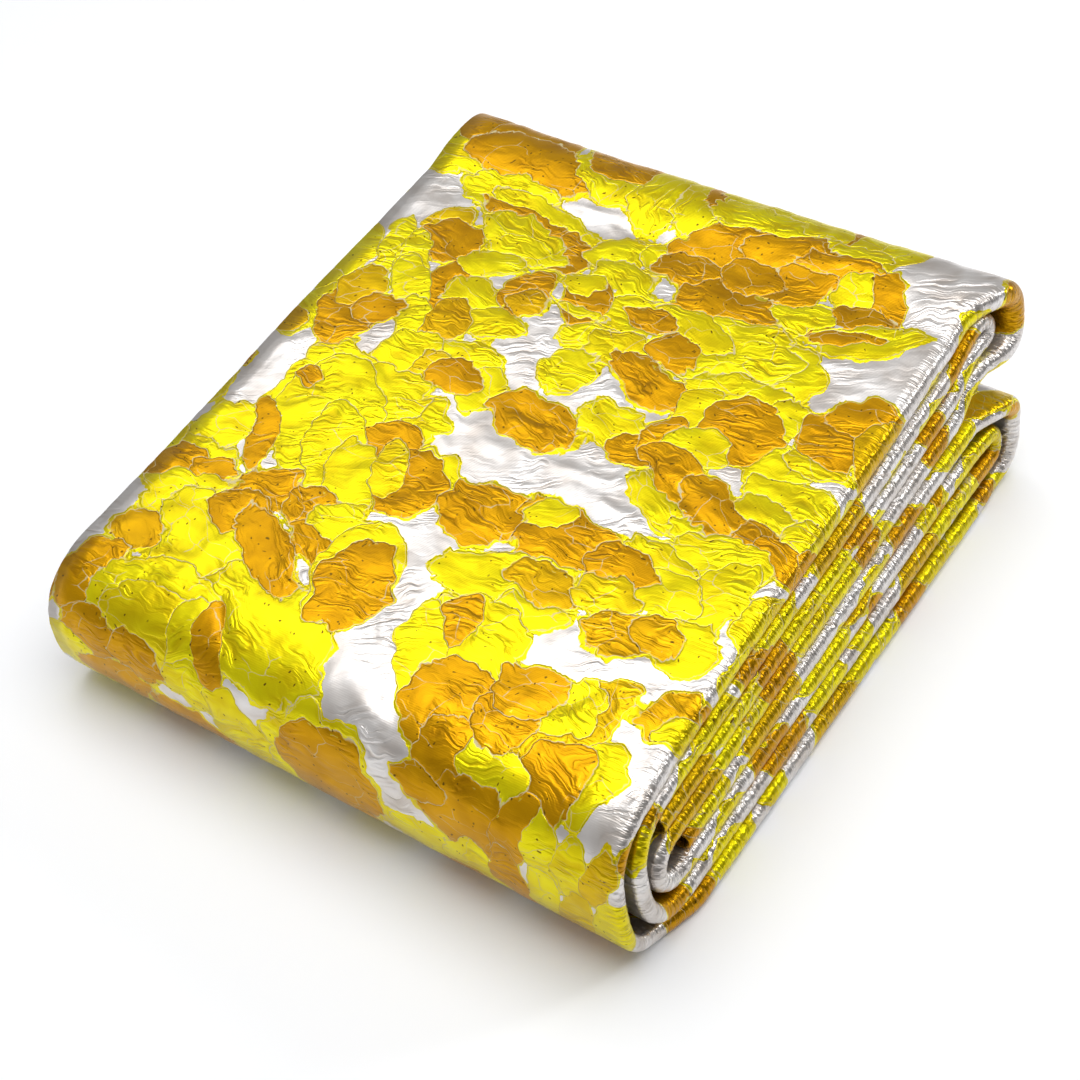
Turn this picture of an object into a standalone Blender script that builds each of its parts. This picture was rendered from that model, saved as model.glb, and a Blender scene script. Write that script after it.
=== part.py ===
# A length of floral brocade, folded for the shelf.
# The cloth is folded once across its width, with the fold at +X and the selvedges at -X. The double
# cloth is then folded back and forth along its length into eight bands, which run along Y.
# X is across the cloth, Y along it, Z up. Metres. The origin is the middle of the footprint.
import math

import bpy
import numpy as np

# Driving sizes
SHEET_THICK = 0.0018
FOOTPRINT_X = 0.361
FOOTPRINT_Y = 0.412
LEAN = 0.22  # the fold leans to -X by this share of its height
LEFT_LEAN = 0.10  # and the selvedges by this share
LEFT_MARGIN = 0.019  # the selvedges' X at the bottom
PLY_PITCH = 0.0033  # half the distance of the two plies of a band, away from the fold
FOLD_FADE = 0.055  # the roll at the fold flattens over this distance
LIFT_FRONT_LEFT = 0.72  # height of the stack at the selvedges, as a share of that at the fold
LIFT_BACK_LEFT = 0.82
UNEVEN_SHARE = 0.009  # the cloth rises and falls by this share of its height
FRONT_LINE = 0.055  # the bands run from this line
REAR_LINE = 0.345  # to this one, and then up or down to their back end
BACK_LINE = 0.386
FLARE_FRONT = 0.065  # the fold stands out from here to the front
FLARE_BACK = 0.365  # and from here to the back
FLARE_RUN = 0.040
SWELL_PLACES = (0.06, 0.16, 0.33, 0.386)  # the rolls at the fold swell between these places along Y
SWELL_SHARES = (1.0, 1.18, 1.18, 0.90)

# The eight bands, top to bottom: height of the band's middle at the front line, the rear line and the
# back end, half the height of its roll at the fold, and how far the fold stands out at either end.
BAND_COLUMNS = ("front_z", "rear_z", "back_z", "roll", "front_flare", "back_flare")
BANDS = {
    1: (0.0980, 0.1215, 0.1290, 0.0062, 0.003, 0.012),
    2: (0.0840, 0.1045, 0.1153, 0.0050, 0.001, 0.003),
    3: (0.0706, 0.0890, 0.1030, 0.0045, 0.000, 0.003),
    4: (0.0580, 0.0735, 0.0910, 0.0049, 0.000, 0.010),
    5: (0.0450, 0.0570, 0.0580, 0.0049, 0.000, 0.012),
    6: (0.0320, 0.0400, 0.0400, 0.0050, 0.000, 0.002),
    7: (0.0183, 0.0230, 0.0230, 0.0049, 0.000, 0.000),
    8: (0.0044, 0.0044, 0.0047, 0.0047, -0.008, -0.002),
}

# The turns between bands: the band it leaves, the band it enters, the Y of its outermost point, how
# square it is (2 is an ellipse), half the height of the roll at its middle, and its number of steps.
TURN_COLUMNS = ("leaves", "enters", "reach_y", "square", "roll", "steps")
TURNS = (
    (3, 2, 0.3930, 2.0, 0.0036, 7),
    (2, 7, 0.0230, 2.5, 0.0040, 9),
    (7, 6, 0.3940, 2.0, 0.0040, 7),
    (6, 4, 0.0370, 2.0, 0.0044, 8),
    (4, 1, 0.4100, 2.8, 0.0070, 10),
    (1, 8, 0.0080, 2.7, 0.0030, 12),
    (8, 5, 0.4080, 2.6, 0.0050, 10),
)
OPEN_START_Y = 0.045  # the free end of the first band of the chain
OPEN_END_Y = 0.060  # the free end of the last one, inside the turn round it

BAND_STEPS = 6
PLY_STEPS = 6
PLY_CROWD = 0.75  # under 1, the steps across a ply are shorter near the fold
FOLD_STEPS = 3


def band(number, column):
    return BANDS[number][BAND_COLUMNS.index(column)]


def turn(row, column):
    return row[TURN_COLUMNS.index(column)]


def smooth(t):
    t = min(1.0, max(0.0, t))
    return t * t * (3.0 - 2.0 * t)


def band_height(number, y):
    """Height of a band's middle at a place along Y, on the side of the fold."""
    run = (y - FRONT_LINE) / (REAR_LINE - FRONT_LINE)
    rise = (band(number, "rear_z") - band(number, "front_z")) * min(1.0, max(0.0, run))
    climb = smooth((y - REAR_LINE) / (BACK_LINE - REAR_LINE))
    return band(number, "front_z") + rise + (band(number, "back_z") - band(number, "rear_z")) * climb


def band_flare(number, y):
    """How far the fold stands out at a place along Y."""
    front = band(number, "front_flare") * smooth((FLARE_FRONT - y) / FLARE_RUN)
    return front + band(number, "back_flare") * smooth((y - FLARE_BACK) / FLARE_RUN)


def band_roll(number, y):
    """Half the height of the roll at the fold, at a place along Y."""
    return band(number, "roll") * np.interp(y, SWELL_PLACES, SWELL_SHARES)


def band_run(number, start_y, end_y):
    """Stations along one band: y, z, roll, flare."""
    found = []
    for step in range(BAND_STEPS + 1):
        y = start_y + (end_y - start_y) * step / BAND_STEPS
        found.append((y, band_height(number, y), band_roll(number, y), band_flare(number, y)))
    return found


def turn_run(row):
    """Stations round one turn, on a half superellipse between its two bands."""
    leaves, enters = turn(row, "leaves"), turn(row, "enters")
    reach = turn(row, "reach_y")
    line = FRONT_LINE if reach < FRONT_LINE else BACK_LINE
    start_z, end_z = band_height(leaves, line), band_height(enters, line)
    middle, half = (start_z + end_z) / 2.0, (start_z - end_z) / 2.0
    power = 2.0 / turn(row, "square")
    steps = turn(row, "steps")
    found = []
    for step in range(1, steps):
        share = step / steps
        angle = math.pi * (0.5 - share)
        out = math.cos(angle) ** power
        up = math.copysign(abs(math.sin(angle)) ** power, math.sin(angle))
        y = line + (reach - line) * out
        roll = band_roll(leaves, line) * (1.0 - share) + band_roll(enters, line) * share
        roll += (turn(row, "roll") - roll) * out
        flare = band_flare(leaves, y) * (1.0 - share) + band_flare(enters, y) * share
        found.append((y, middle + half * up, roll, flare))
    return found


def chain():
    """Stations along the whole cloth, from its free end in band 3 to that in band 5."""
    path = []
    at = OPEN_START_Y
    for row in TURNS:
        to = FRONT_LINE if turn(row, "reach_y") < FRONT_LINE else BACK_LINE
        path += band_run(turn(row, "leaves"), at, to)
        path += turn_run(row)
        at = to
    return path + band_run(turn(TURNS[-1], "enters"), at, OPEN_END_Y)


def across():
    """Places across the cloth, from one selvedge over the fold to the other.

    Each is the side of the fold, the share of the ply's width from the roll, and the angle on the roll.
    """
    flat = math.pi / 2.0
    half = [(1.0 - (step / PLY_STEPS) ** PLY_CROWD, flat) for step in range(PLY_STEPS)]
    half += [(0.0, flat * (1.0 - step / FOLD_STEPS)) for step in range(FOLD_STEPS)]
    return [(1.0, *row) for row in half] + [(1.0, 0.0, 0.0)] + [(-1.0, *row) for row in reversed(half)]


def lift(x, y):
    """How high the stack stands at a place, as a share of its height along the fold."""
    left = LIFT_FRONT_LEFT + (LIFT_BACK_LEFT - LIFT_FRONT_LEFT) * min(1.0, max(0.0, y / FOOTPRINT_Y))
    return left + (1.0 - left) * min(1.0, max(0.0, x / FOOTPRINT_X))


def uneven(x, y, z):
    """The loose cloth's slow rise and fall, greatest on top."""
    wave = math.sin(17.0 * x + 9.0 * y) + 0.6 * math.sin(31.0 * y - 12.0 * x + 1.0)
    return UNEVEN_SHARE * wave * z


def cloth_point(station, normal, place):
    """Where a place across the cloth lies at one station of the path."""
    y, z, roll, flare = station
    side, share, angle = place
    roll_x = FOOTPRINT_X - LEAN * z + flare - roll
    selvedge_x = LEFT_MARGIN - LEFT_LEAN * z
    if share > 0.0:
        x = roll_x + (selvedge_x - roll_x) * share
        offset = PLY_PITCH + (roll - PLY_PITCH) * math.exp((x - roll_x) / FOLD_FADE)
    else:
        x = roll_x + roll * math.cos(angle)
        offset = roll * math.sin(angle)
    y += side * offset * normal[0]
    z += side * offset * normal[1]
    z = z * lift(x, y) + uneven(x, y, z)
    return x, y, max(z, SHEET_THICK / 2.0)


def normals(path):
    """Unit normals of the path in the YZ plane, always on the same side of the cloth."""
    points = np.array([row[:2] for row in path])
    ahead = np.gradient(points, axis=0)
    ahead /= np.linalg.norm(ahead, axis=1)[:, None]
    return np.stack([-ahead[:, 1], ahead[:, 0]], axis=1)


def cloth_mesh():
    path = chain()
    places = across()
    points = [
        cloth_point(station, normal, place)
        for station, normal in zip(path, normals(path))
        for place in places
    ]
    points = np.array(points)
    points[:, :2] -= (points.min(axis=0) + points.max(axis=0))[:2] / 2.0
    width = len(places)
    faces = [
        (row * width + col, row * width + col + 1, (row + 1) * width + col + 1, (row + 1) * width + col)
        for row in range(len(path) - 1)
        for col in range(width - 1)
    ]
    mesh = bpy.data.meshes.new("brocade_cloth")
    mesh.from_pydata(points.tolist(), [], faces)
    mesh.shade_smooth()
    return mesh


def brocade_material():
    material = bpy.data.materials.new("satin_brocade")
    material.use_nodes = True
    shader = material.node_tree.nodes["Principled BSDF"]
    shader.inputs["Base Color"].default_value = (0.78, 0.62, 0.02, 1.0)
    shader.inputs["Roughness"].default_value = 0.34
    shader.inputs["Metallic"].default_value = 0.3
    return material


def main():
    for thing in list(bpy.data.objects):
        bpy.data.objects.remove(thing)
    parts = bpy.data.collections.new("folded_brocade")
    bpy.context.scene.collection.children.link(parts)
    cloth = bpy.data.objects.new("brocade_cloth", cloth_mesh())
    parts.objects.link(cloth)
    cloth.data.materials.append(brocade_material())
    sheet = cloth.modifiers.new("sheet", "SOLIDIFY")
    sheet.thickness = SHEET_THICK
    sheet.offset = 0.0
    sheet.use_even_offset = True


main()
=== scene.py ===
"""Looks of a folded length of floral brocade.

The cloth follows the folds of its solid, with its puffed petals, creases and puckers as geometry.
Its woven petals are charted below in millimetres, as one repeat of the loom, and run on over every fold.
"""
import math

import bpy
import numpy as np
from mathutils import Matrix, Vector


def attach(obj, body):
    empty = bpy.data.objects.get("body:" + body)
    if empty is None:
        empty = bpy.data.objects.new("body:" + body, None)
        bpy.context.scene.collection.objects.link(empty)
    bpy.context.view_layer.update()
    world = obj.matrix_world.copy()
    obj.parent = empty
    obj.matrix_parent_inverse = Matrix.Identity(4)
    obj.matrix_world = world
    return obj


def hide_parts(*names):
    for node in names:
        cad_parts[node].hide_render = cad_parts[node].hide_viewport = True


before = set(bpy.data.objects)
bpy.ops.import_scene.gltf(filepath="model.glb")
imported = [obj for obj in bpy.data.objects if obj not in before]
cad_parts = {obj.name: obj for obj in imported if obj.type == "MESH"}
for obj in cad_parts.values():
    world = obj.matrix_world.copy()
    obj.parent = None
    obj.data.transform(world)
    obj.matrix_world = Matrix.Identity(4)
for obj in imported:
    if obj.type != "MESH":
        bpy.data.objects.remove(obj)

MM = 0.001

# The solid's sizes and its folded path, in metres
FOOTPRINT_X = 0.361
FOOTPRINT_Y = 0.412
LEAN = 0.22
LEFT_LEAN = 0.10
LEFT_MARGIN = 0.019
PLY_PITCH = 0.0033
FOLD_FADE = 0.055
LIFT_FRONT_LEFT = 0.72
LIFT_BACK_LEFT = 0.82
UNEVEN_SHARE = 0.009
FRONT_LINE = 0.055
REAR_LINE = 0.345
BACK_LINE = 0.386
FLARE_FRONT = 0.065
FLARE_BACK = 0.365
FLARE_RUN = 0.040
SWELL_PLACES = (0.06, 0.16, 0.33, 0.386)
SWELL_SHARES = (1.0, 1.18, 1.18, 0.90)
BAND_COLUMNS = ("front_z", "rear_z", "back_z", "roll", "front_flare", "back_flare")
BANDS = {
    1: (0.0980, 0.1215, 0.1290, 0.0062, 0.003, 0.012),
    2: (0.0840, 0.1045, 0.1153, 0.0050, 0.001, 0.003),
    3: (0.0706, 0.0890, 0.1030, 0.0045, 0.000, 0.003),
    4: (0.0580, 0.0735, 0.0910, 0.0049, 0.000, 0.010),
    5: (0.0450, 0.0570, 0.0580, 0.0049, 0.000, 0.012),
    6: (0.0320, 0.0400, 0.0400, 0.0050, 0.000, 0.002),
    7: (0.0183, 0.0230, 0.0230, 0.0049, 0.000, 0.000),
    8: (0.0044, 0.0044, 0.0047, 0.0047, -0.008, -0.002),
}
TURN_COLUMNS = ("leaves", "enters", "reach_y", "square", "roll")
TURNS = (
    (3, 2, 0.3930, 2.0, 0.0036),
    (2, 7, 0.0230, 2.5, 0.0040),
    (7, 6, 0.3940, 2.0, 0.0040),
    (6, 4, 0.0370, 2.0, 0.0044),
    (4, 1, 0.4100, 2.8, 0.0070),
    (1, 8, 0.0080, 2.7, 0.0030),
    (8, 5, 0.4080, 2.6, 0.0050),
)
OPEN_START_Y = 0.045
OPEN_END_Y = 0.060
SHEET_THICK = 0.0018
FOOTPRINT_MIDDLE = (0.1835, 0.2109)
BAND_SLOPE = 1.0026  # length of the top band from back to front, along its slope, to its length in plan

# The loom's repeat. Its x is 0 on the fold and falls towards the selvedge, and its y is 0 where the top
# starts to turn down at the front and rises towards the back.
REPEAT_X = 350
REPEAT_Y = 512

# One row a petal, from the lowest to the one on top: x and y of its middle, half length, half width, turn
# of its length from +x in degrees, share of gold in its colour, and scallops round its edge.
PETALS = (
    # back edge
    (-331, 316, 26, 22, 20, 0.0, 9),
    (-321, 356, 42, 28, 0, 1.0, 7),
    (-296, 344, 30, 22, -60, 1.0, 0),
    (-281, 325, 42, 16, -6, 1.0, 0),
    (-234, 346, 34, 23, -35, 0.0, 0),
    (-238, 351, 26, 17, -12, 1.0, 0),
    (-203, 344, 38, 13, -70, 0.0, 0),
    (-182, 346, 32, 13, -68, 0.0, 0),
    (-176, 354, 19, 12, -65, 1.0, 0),
    (-151, 356, 30, 17, 10, 0.0, 8),
    (-144, 332, 32, 13, -12, 0.0, 10),
    (-113, 352, 22, 16, 0, 0.0, 7),
    (-91, 350, 6, 14, 10, 1.0, 0),
    (-82, 348, 11, 19, 0, 0.0, 0),
    (-66, 344, 12, 22, 0, 0.0, 7),
    (-104, 372, 26, 9, 10, 1.0, 6),
    # double shell, left of the back
    (-279, 297, 30, 18, -5, 0.0, 8),
    (-246, 288, 42, 12, -14, 0.0, 0),
    (-256, 284, 38, 6, -6, 1.0, 0),
    (-222, 271, 12, 16, 10, 1.0, 4),
    (-254, 270, 30, 14, -12, 0.0, 8),
    (-297, 256, 12, 20, 0, 0.6, 0),
    (-286, 252, 20, 15, -30, 1.0, 5),
    # long-petalled flower at the left
    (-268, 219, 15, 19, 0, 1.0, 0),
    (-258, 244, 18, 10, 20, 0.0, 0),
    (-246, 216, 24, 15, -20, 0.0, 6),
    (-231, 204, 19, 11, 10, 0.2, 5),
    (-227, 233, 13, 18, 0, 1.0, 5),
    (-222, 226, 11, 10, 0, 0.8, 0),
    (-331, 222, 9, 22, 10, 0.0, 0),
    (-314, 234, 8, 22, 12, 0.0, 0),
    (-298, 226, 9, 26, 18, 0.0, 0),
    (-286, 206, 11, 28, 35, 0.0, 5),
    (-272, 188, 10, 18, 30, 0.0, 0),
    (-338, 184, 12, 20, -20, 0.0, 0),
    (-324, 170, 9, 22, -10, 0.0, 0),
    (-306, 172, 14, 24, 20, 1.0, 5),
    (-312, 198, 12, 15, 0, 0.7, 4),
    (-293, 186, 12, 10, 40, 1.0, 0),
    (-333, 158, 10, 9, 0, 0.8, 0),
    (-254, 196, 12, 17, 0, 0.8, 5),
    # middle of the back half
    (-190, 280, 23, 15, 0, 0.0, 7),
    (-184, 262, 22, 13, -20, 0.0, 5),
    (-160, 240, 28, 19, 0, 0.0, 6),
    (-193, 240, 14, 15, 0, 1.0, 4),
    (-192, 234, 15, 3, -5, 0.0, 0),
    (-204, 252, 12, 7, 10, 0.0, 0),
    (-178, 220, 18, 8, 10, 0.0, 0),
    (-158, 216, 20, 14, 0, 0.2, 5),
    (-178, 193, 15, 16, 0, 0.0, 6),
    # great gold flower
    (-88, 328, 22, 11, 8, 0.0, 6),
    (-168, 290, 15, 13, 0, 0.0, 5),
    (-142, 304, 31, 20, 10, 1.0, 6),
    (-112, 318, 25, 13, 10, 1.0, 5),
    (-80, 317, 26, 11, -6, 1.0, 5),
    (-53, 302, 15, 22, 0, 1.0, 5),
    (-66, 303, 11, 15, 10, 0.0, 6),
    (-64, 284, 22, 13, 25, 1.0, 5),
    (-44, 275, 26, 13, 26, 0.0, 5),
    (-60, 272, 20, 4, 24, 1.0, 0),
    (-149, 284, 25, 12, -5, 1.0, 5),
    (-90, 279, 18, 12, 0, 0.0, 7),
    (-127, 268, 28, 17, -8, 1.0, 6),
    (-98, 297, 20, 13, 30, 1.0, 5),
    (-122, 295, 17, 12, 0, 1.0, 0),
    # broad yellow leaves below it
    (-76, 234, 24, 22, 20, 0.0, 7),
    (-106, 238, 34, 24, 10, 0.0, 7),
    (-134, 248, 24, 10, -15, 0.1, 0),
    (-156, 245, 14, 8, -10, 1.0, 4),
    (-133, 229, 12, 10, 0, 1.0, 0),
    (-91, 216, 30, 12, 5, 0.0, 5),
    (-136, 205, 27, 12, -20, 1.0, 6),
    (-101, 196, 12, 20, 0, 0.2, 5),
    (-54, 208, 14, 16, 0, 0.0, 5),
    (-46, 179, 17, 16, 0, 0.0, 6),
    (-76, 194, 19, 21, 0, 1.0, 0),
    # gold flower on the fold
    (-30, 188, 18, 9, -10, 0.2, 5),
    (-28, 208, 20, 18, 0, 1.0, 5),
    (-20, 227, 19, 14, 15, 1.0, 5),
    (-4, 212, 14, 22, 0, 0.7, 4),
    # lone petals
    (-231, 176, 20, 12, 10, 0.0, 0),
    (-208, 160, 10, 17, 0, 0.0, 5),
    (-258, 164, 17, 21, 0, 0.0, 5),
    (-244, 162, 9, 14, 0, 0.5, 0),
    (-228, 162, 15, 12, 0, 1.0, 0),
    (-174, 155, 25, 16, -14, 1.0, 0),
    # band of gold across the middle right
    (-133, 170, 24, 15, -15, 0.0, 8),
    (-117, 160, 15, 11, 10, 1.0, 6),
    (-108, 174, 10, 14, 0, 1.0, 0),
    (-91, 172, 18, 14, 0, 0.0, 5),
    (-26, 160, 30, 12, -12, 0.0, 5),
    (-88, 135, 26, 9, -28, 0.0, 7),
    (-52, 119, 26, 9, -28, 0.0, 6),
    (-91, 157, 25, 11, -28, 1.0, 5),
    (-60, 143, 25, 12, -25, 1.0, 6),
    (-36, 150, 16, 9, -20, 0.1, 5),
    (-26, 128, 22, 13, -25, 1.0, 5),
    (-8, 144, 12, 10, 0, 0.0, 0),
    # great yellow peony at the left
    (-232, 126, 20, 16, 10, 0.0, 7),
    (-286, 122, 24, 34, 10, 0.0, 9),
    (-258, 134, 24, 22, 0, 0.0, 7),
    (-271, 106, 26, 40, 25, 0.0, 0),
    (-296, 129, 7, 7, 0, 1.0, 0),
    (-231, 108, 16, 13, 0, 1.0, 6),
    (-254, 90, 15, 30, 30, 0.0, 0),
    (-236, 78, 12, 24, 30, 0.0, 0),
    (-202, 98, 17, 17, 0, 0.0, 6),
    (-208, 88, 18, 22, 10, 1.0, 6),
    (-222, 92, 8, 17, 20, 0.3, 0),
    (-296, 84, 8, 24, 28, 1.0, 0),
    (-318, 78, 15, 19, 0, 0.0, 5),
    (-314, 56, 24, 12, -10, 0.0, 7),
    (-321, 44, 17, 16, 0, 1.0, 6),
    (-302, 50, 12, 10, 0, 1.0, 5),
    # scattered gold at the middle
    (-164, 91, 22, 20, -10, 1.0, 7),
    (-138, 106, 11, 8, 0, 0.9, 0),
    (-114, 90, 27, 20, -10, 1.0, 7),
    (-133, 104, 12, 10, 20, 0.0, 5),
    (-132, 56, 37, 17, 12, 0.0, 8),
    (-108, 46, 20, 10, 10, 0.0, 5),
    (-112, 64, 20, 10, -10, 0.8, 5),
    # yellow mass at the right
    (-46, 112, 26, 16, 0, 0.0, 8),
    (-30, 90, 15, 22, 0, 0.0, 7),
    (-66, 100, 22, 12, -20, 0.1, 7),
    (-54, 82, 18, 16, 0, 0.0, 6),
    (-84, 88, 18, 13, 0, 1.0, 6),
    (-80, 70, 16, 11, 0, 0.4, 5),
    (-30, 60, 16, 15, 0, 0.1, 5),
    (-64, 52, 17, 13, 0, 0.9, 6),
    (-46, 60, 12, 10, 0, 0.9, 4),
    (-2, 86, 12, 20, 0, 0.1, 5),
    # gold four-petal flower at the front left
    (-296, 24, 34, 22, -10, 0.0, 8),
    (-258, -2, 60, 26, -32, 0.0, 0),
    (-221, -20, 42, 26, -20, 0.0, 7),
    (-267, 52, 20, 14, 10, 1.0, 5),
    (-241, 53, 16, 12, -20, 1.0, 4),
    (-273, 34, 17, 12, 5, 1.0, 5),
    (-247, 22, 29, 12, -38, 1.0, 4),
    (-225, 35, 17, 12, -35, 1.0, 4),
    (-224, 52, 14, 12, 0, 0.0, 5),
    (-197, 26, 20, 31, 8, 0.0, 0),
    (-195, 20, 18, 28, 8, 1.0, 6),
    # arched petals at the front left corner
    (-314, 0, 16, 11, -15, 0.9, 5),
    (-318, -32, 18, 22, 0, 1.0, 6),
    (-281, -36, 34, 24, 0, 0.0, 0),
    (-278, -42, 25, 17, 0, 0.2, 6),
    (-246, -50, 12, 26, 30, 0.0, 0),
    (-236, -44, 8, 25, 28, 1.0, 0),
    (-311, -64, 18, 16, 0, 1.0, 5),
    (-280, -66, 17, 16, 0, 1.0, 6),
    (-248, -66, 14, 14, 0, 0.0, 5),
    # flower at the front, right of the middle
    (-122, 24, 28, 20, -20, 0.0, 8),
    (-134, 26, 9, 15, 10, 1.0, 0),
    (-142, 2, 11, 26, 18, 0.0, 0),
    (-116, -16, 23, 22, 0, 1.0, 7),
    (-100, -36, 20, 14, 0, 1.0, 5),
    (-56, -2, 16, 36, -28, 0.7, 0),
    (-60, 8, 15, 17, -30, 0.0, 6),
    (-32, -22, 13, 19, 0, 0.0, 5),
    (-50, -30, 14, 19, -20, 1.0, 0),
    (-76, -36, 17, 12, 0, 0.0, 6),
    (-84, -12, 15, 14, 0, 1.0, 5),
    (-84, 8, 17, 14, 0, 1.0, 7),
    (-16, 24, 12, 17, -25, 0.9, 5),
    (-8, 16, 12, 8, 30, 0.1, 0),
    # along the fold
    (7, 276, 9, 12, 0, 0.0, 5),
    (4, 128, 12, 14, 0, 1.0, 4),
    (8, 100, 10, 13, 0, 0.2, 0),
    (6, 62, 12, 17, 0, 0.0, 5),
    (7, 34, 10, 10, 0, 1.0, 4),
    (6, -44, 10, 14, 0, 1.0, 4),
    # front face
    (-330, -82, 16, 17, 0, 0.0, 5),
    (-301, -92, 23, 14, 10, 1.0, 6),
    (-254, -98, 25, 14, -5, 1.0, 6),
    (-218, -82, 15, 24, 20, 0.0, 6),
    (-318, -115, 22, 12, 0, 0.0, 6),
    (-276, -121, 20, 10, 0, 1.0, 5),
    (-206, -112, 22, 12, 0, 0.0, 5),
    (-170, -78, 33, 34, 0, 0.0, 7),
    (-168, -81, 29, 30, 0, 1.0, 6),
    (-150, -120, 16, 10, 0, 0.2, 4),
    (-86, -62, 26, 20, 0, 1.0, 7),
    (-112, -54, 14, 10, 0, 1.0, 4),
    (-58, -60, 10, 20, -20, 1.0, 0),
    (-42, -62, 8, 18, 10, 0.0, 0),
    (-28, -64, 8, 18, 0, 0.1, 0),
    (-13, -60, 8, 18, -10, 0.6, 0),
    (-112, -96, 22, 16, 0, 0.0, 6),
    (-84, -98, 18, 20, 10, 0.0, 5),
    (-62, -94, 9, 24, 8, 1.0, 0),
    (-44, -98, 9, 24, 0, 0.0, 0),
    (-27, -100, 9, 24, -6, 0.4, 0),
    (-10, -98, 9, 24, -12, 0.0, 0),
    (-96, -116, 20, 12, 0, 1.0, 5),
    (-36, -122, 22, 12, 0, 1.0, 5),
)
SCALLOP_DEPTH = 0.13  # of a scallop, as a share of the petal's size
EGG = 0.12  # how much wider a petal is towards the end that its turn points to

PETAL_SPREAD = 1.07  # every charted petal is woven this much larger
PETAL_REACH = 1.35  # no outline runs further from its petal's middle than this many half lengths
CHART_MARGIN = 1.4  # petals this many half lengths off a sheet are left out of it
GAP_FILL = 7 * MM  # narrow gaps between petals close over about a third of this
GAP_SHARE = 0.35
RAGGED_EDGE = 3.4 * MM  # strength of the noise that frays an outline
RAGGED_SHARE = 0.3  # the most of that strength by which it moves the outline
FACE_REACH = 4 * MM  # half of the largest face of a sheet that shows
LIE_SHIFT = 3.0  # slides the gathers of one petal along from those of the next
LOOM_SHIFTS = ((0.034, 3.2 * MM, 1), (0.014, 3.0 * MM, 3), (0.0062, 1.8 * MM, 5))  # size, amount, seed

# The main creases of the top and the front, in the chart's millimetres: middle, half length, half width,
# turn in degrees, and height, which is negative for a trough.
CREASES = (
    (-174, 158, 22, 3.0, -6, -0.9),
    (-172, 151, 16, 2.5, 4, 0.6),
    (-226, 306, 26, 3.0, 5, 0.9),
    (-196, 300, 20, 3.0, -12, -0.6),
    (-20, 330, 26, 4.0, -60, 1.0),
    (-32, 322, 24, 3.5, -52, -0.8),
    (-130, 134, 32, 3.5, 5, 0.9),
    (-45, 42, 28, 3.5, 15, 1.0),
    (-36, 34, 24, 3.0, 22, -0.8),
    (-162, 5, 26, 3.5, -50, 1.0),
    (-146, -34, 22, 3.5, -20, 0.9),
    (-318, 145, 26, 4.0, 50, 1.2),
    (-326, 122, 22, 4.0, 58, -0.9),
    (-318, 225, 18, 3.0, 20, 0.7),
    (-250, -10, 46, 3.5, -38, 0.9),
    (-240, -22, 36, 3.0, -50, -0.9),
    (-290, -10, 26, 3.0, 15, 0.8),
    (-264, 120, 28, 3.0, -70, 0.9),
    (-262, 150, 18, 3.0, -40, -0.7),
    (-208, 84, 22, 3.0, -60, -0.8),
    (-75, 150, 36, 3.0, -18, 1.0),
    (-60, 134, 40, 3.0, -22, -1.0),
    (-22, 200, 25, 3.5, -60, 1.1),
    (-12, 188, 22, 3.0, -62, -1.0),
    (-100, 120, 26, 3.0, -8, 0.8),
    (-84, -8, 25, 3.0, 60, 0.9),
    (-60, 10, 30, 3.0, 55, -0.9),
    (-106, -42, 30, 3.5, 10, 0.8),
    (-10, 0, 30, 4.0, 80, 0.9),
)

# The grids of the sheets. A ply's steps are shares of it, from the roll to the selvedge.
BAND_STEPS = 300
TURN_STEPS = 80
ROLL_STEPS = 16
FACE_STEP = 2.25 * MM  # along the cloth, where its face shows
FOLD_STEP = 1.4 * MM  # along the cloth, where only its fold shows
COVER_PLY_STEP = 0.0068
WRAP_PLY_STEP = 0.012
HIDDEN_PLY_STEP, HIDDEN_PLY_GROWTH = 0.0055, 1.45
FLOOR_GAP = 0.4 * MM  # the lowest that the middle of the sheet comes

# The relief that is geometry
PUFF_HEIGHT = 0.45 * MM  # of the cloth between its outlines
PUFF_RUN = 2.5 * MM
OUTLINE_REACH = 12 * MM  # distances to an outline are measured up to this
GATHER_HEIGHT = 0.22 * MM
GATHER_LENGTH, GATHER_WIDTH = 26 * MM, 9 * MM
GATHER_FADE = 4 * MM
CRUMPLES = ((0.045, 0.55 * MM, 31), (0.021, 0.28 * MM, 32), (0.010, 0.08 * MM, 33))  # size, height, seed
BEND, BEND_SIZE = 7 * MM, 30 * MM  # how far the crumples' crests wander, and over what length
PUCKER_REACH = 9 * MM
PUCKER_HEIGHT = 0.22 * MM
PUCKERS = ((3.2 * MM, 16 * MM, 1.0, 21), (7 * MM, 12 * MM, 0.8, 22))  # spacing, length, share, seed
EDGE_RELIEF = 0.35  # share of the relief that is left at the fold and at the selvedge
EDGE_FADE = 20 * MM
FOLD_EDGE, SELVEDGE_EDGE = 8 * MM, 345 * MM
INNER_RELIEF, WRAP_RELIEF = 0.35, 0.5  # share of the relief on the folds inside and on the bottom one

# Yarn colours. Each deep colour is the yarn's deeper tone in its clouds, and also its painted shade in the
# troughs of the gathers
LEMON, LEMON_DEEP_AND_SHADE = "#e9dd10", "#d3bb08"
GOLD, GOLD_DEEP_AND_SHADE = "#cf9806", "#b37f04"
SILVER, SILVER_DEEP_AND_SHADE = "#e3dfdc", "#c6bdb5"
THREAD = "#c9bc90"
PIN_THREAD = "#6a5010"

# Satin of foil-wrapped weft, and the duller outline thread. Foil that is woven shines less than a bare one.
SATIN_METAL, THREAD_METAL = 0.80, 0.3
SATIN_ROUGHNESS, THREAD_ROUGHNESS = 0.29, 0.5
SATIN_SPECULAR = 0.15

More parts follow.
